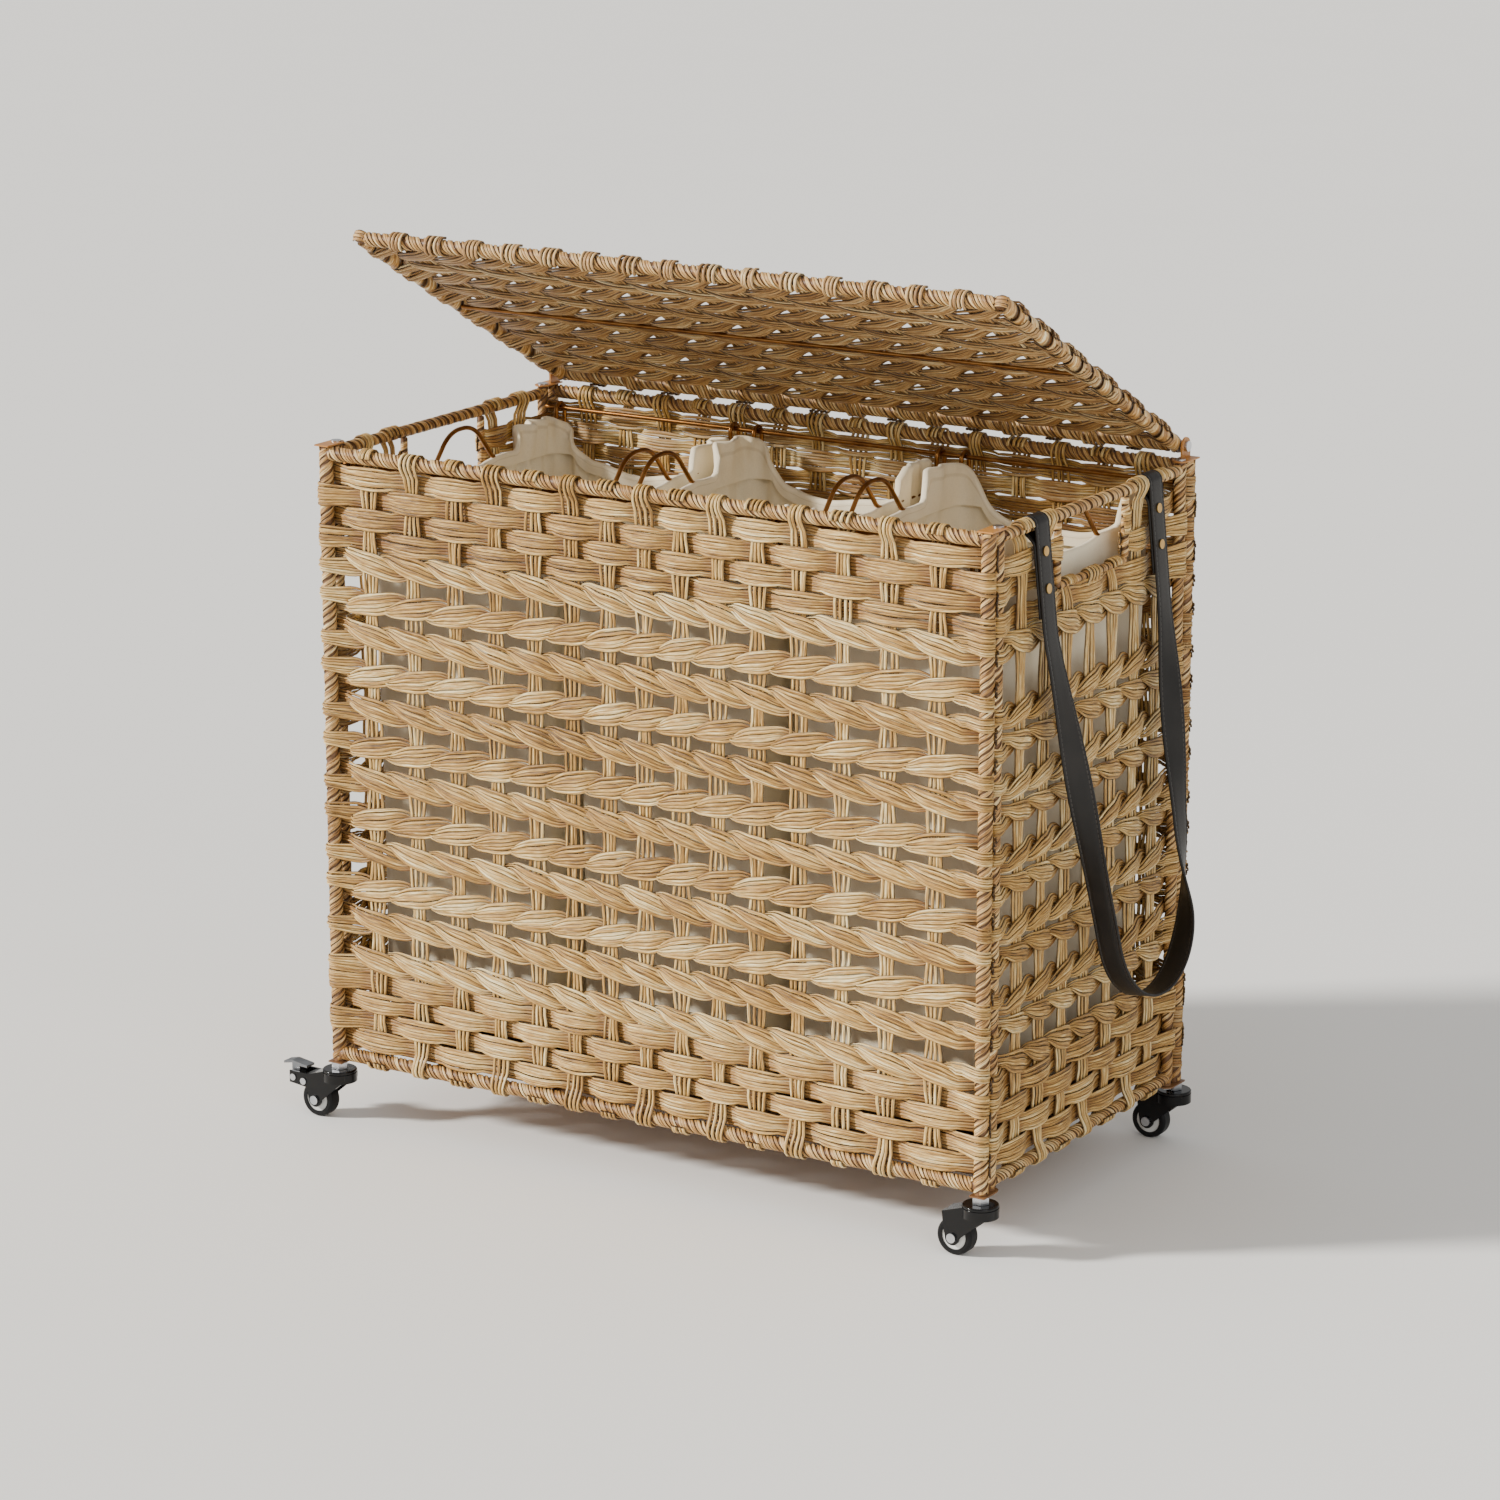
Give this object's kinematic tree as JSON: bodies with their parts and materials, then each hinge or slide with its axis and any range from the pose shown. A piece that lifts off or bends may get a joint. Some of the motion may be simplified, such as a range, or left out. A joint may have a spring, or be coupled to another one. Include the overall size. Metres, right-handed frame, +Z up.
{
  "type": "laundry sorter on wheels",
  "caption": "Woven wicker laundry sorter on swivel casters with a hinged woven lid, hanging cloth bags on wire hangers and a leather pull strap",
  "frame": {"origin": "on the floor under the middle of the basket", "axes": "X along the long side, Y from the front panel to the back panel, Z up"},
  "size_m": [0.7581, 0.366, 0.7768],
  "materials": {
    "cane_wound": "wound split cane",
    "cane_woven": "woven split cane",
    "steel_tube": "powder coated",
    "tan_wire": "bronze coated wire",
    "tan_plate": "tan coated plate",
    "zinc": "zinc plated",
    "board": "brown board",
    "cloth": "cotton cloth",
    "belt": "black smooth leather",
    "rivet": "polished",
    "fork_black": "gloss black",
    "pedal_grey": "dark grey",
    "tyre": "black polyurethane",
    "hub": "light grey plastic"
  },
  "bodies": {
    "basket": {"back_frame": "steel_tube", "back_stakes": "cane_woven", "back_weavers": "cane_woven", "back_wrap": "cane_wound", "bag_rods": "tan_wire", "base_bars": "steel_tube", "base_board": "board", "bottom_corner_plates": "tan_plate", "bracket_screws": "zinc", "caster_stems": "zinc", "front_corner_plates": "tan_plate", "front_frame": "steel_tube", "front_stakes": "cane_woven", "front_weavers": "cane_woven", "front_wrap": "cane_wound", "hinge_bolts": "zinc", "hinge_brackets": "tan_plate", "left_frame": "steel_tube", "left_handle_frame": "steel_tube", "left_stakes": "cane_woven", "left_weavers": "cane_woven", "left_wrap": "cane_wound", "right_frame": "steel_tube", "right_handle_frame": "steel_tube", "right_stakes": "cane_woven", "right_weavers": "cane_woven", "right_wrap": "cane_wound", "stem_nuts": "zinc"},
    "lid": {"lid_frame": "steel_tube", "lid_rod": "tan_wire", "lid_stakes": "cane_woven", "lid_weavers": "cane_woven", "lid_wrap": "cane_wound"},
    "strap": {"strap": "belt", "strap_rivets": "rivet"},
    "bag_left": {"liner_left": "cloth", "hangers_left": "tan_wire"},
    "bag_middle": {"liner_middle": "cloth", "hangers_middle": "tan_wire"},
    "bag_right": {"liner_right": "cloth", "hangers_right": "tan_wire"},
    "caster_fl": {"fork_fl": "fork_black", "axle_fl": "zinc"},
    "wheel_fl": {"hub_fl": "hub", "tyre_fl": "tyre"},
    "brake_fl": {"brake_pedal_fl": "pedal_grey"},
    "caster_fr": {"fork_fr": "fork_black", "axle_fr": "zinc"},
    "wheel_fr": {"hub_fr": "hub", "tyre_fr": "tyre"},
    "caster_bl": {"fork_bl": "fork_black", "axle_bl": "zinc"},
    "wheel_bl": {"hub_bl": "hub", "tyre_bl": "tyre"},
    "brake_bl": {"brake_pedal_bl": "pedal_grey"},
    "caster_br": {"fork_br": "fork_black", "axle_br": "zinc"},
    "wheel_br": {"hub_br": "hub", "tyre_br": "tyre"}
  },
  "joints": [
    {"name": "lid_hinge", "type": "hinge", "parent": "basket", "child": "lid", "pos_m": [0, 0.168, 0.608], "axis": [-1, 0, 0], "range_deg": [-28.5, 66.5]},
    {"name": "strap_swing", "type": "hinge", "parent": "basket", "child": "strap", "pos_m": [0.32, 0, 0.591], "axis": [0, -1, 0], "range_deg": [0, 110]},
    {"name": "bag_left_slide", "type": "slide", "parent": "basket", "child": "bag_left", "axis": [1, 0, 0], "range_m": [-0.005, 0.005]},
    {"name": "bag_middle_slide", "type": "slide", "parent": "basket", "child": "bag_middle", "axis": [1, 0, 0], "range_m": [-0.005, 0.005]},
    {"name": "bag_right_slide", "type": "slide", "parent": "basket", "child": "bag_right", "axis": [1, 0, 0], "range_m": [-0.005, 0.005]},
    {"name": "caster_fl_swivel", "type": "hinge", "parent": "basket", "child": "caster_fl", "pos_m": [-0.32, -0.168, 0.044], "axis": [0, 0, 1], "continuous": true},
    {"name": "wheel_fl_spin", "type": "hinge", "parent": "caster_fl", "child": "wheel_fl", "pos_m": [-0.341, -0.168, 0.016], "axis": [0, 1, 0], "continuous": true},
    {"name": "brake_fl_press", "type": "hinge", "parent": "caster_fl", "child": "brake_fl", "pos_m": [-0.364, -0.168, 0.03298], "axis": [0, -1, 0], "range_deg": [0, 10]},
    {"name": "caster_fr_swivel", "type": "hinge", "parent": "basket", "child": "caster_fr", "pos_m": [0.32, -0.168, 0.044], "axis": [0, 0, 1], "continuous": true},
    {"name": "wheel_fr_spin", "type": "hinge", "parent": "caster_fr", "child": "wheel_fr", "pos_m": [0.299, -0.168, 0.016], "axis": [0, 1, 0], "continuous": true},
    {"name": "caster_bl_swivel", "type": "hinge", "parent": "basket", "child": "caster_bl", "pos_m": [-0.32, 0.168, 0.044], "axis": [0, 0, 1], "continuous": true},
    {"name": "wheel_bl_spin", "type": "hinge", "parent": "caster_bl", "child": "wheel_bl", "pos_m": [-0.341, 0.168, 0.016], "axis": [0, 1, 0], "continuous": true},
    {"name": "brake_bl_press", "type": "hinge", "parent": "caster_bl", "child": "brake_bl", "pos_m": [-0.364, 0.168, 0.03298], "axis": [0, -1, 0], "range_deg": [0, 10]},
    {"name": "caster_br_swivel", "type": "hinge", "parent": "basket", "child": "caster_br", "pos_m": [0.32, 0.168, 0.044], "axis": [0, 0, 1], "continuous": true},
    {"name": "wheel_br_spin", "type": "hinge", "parent": "caster_br", "child": "wheel_br", "pos_m": [0.299, 0.168, 0.016], "axis": [0, 1, 0], "continuous": true}
  ]
}
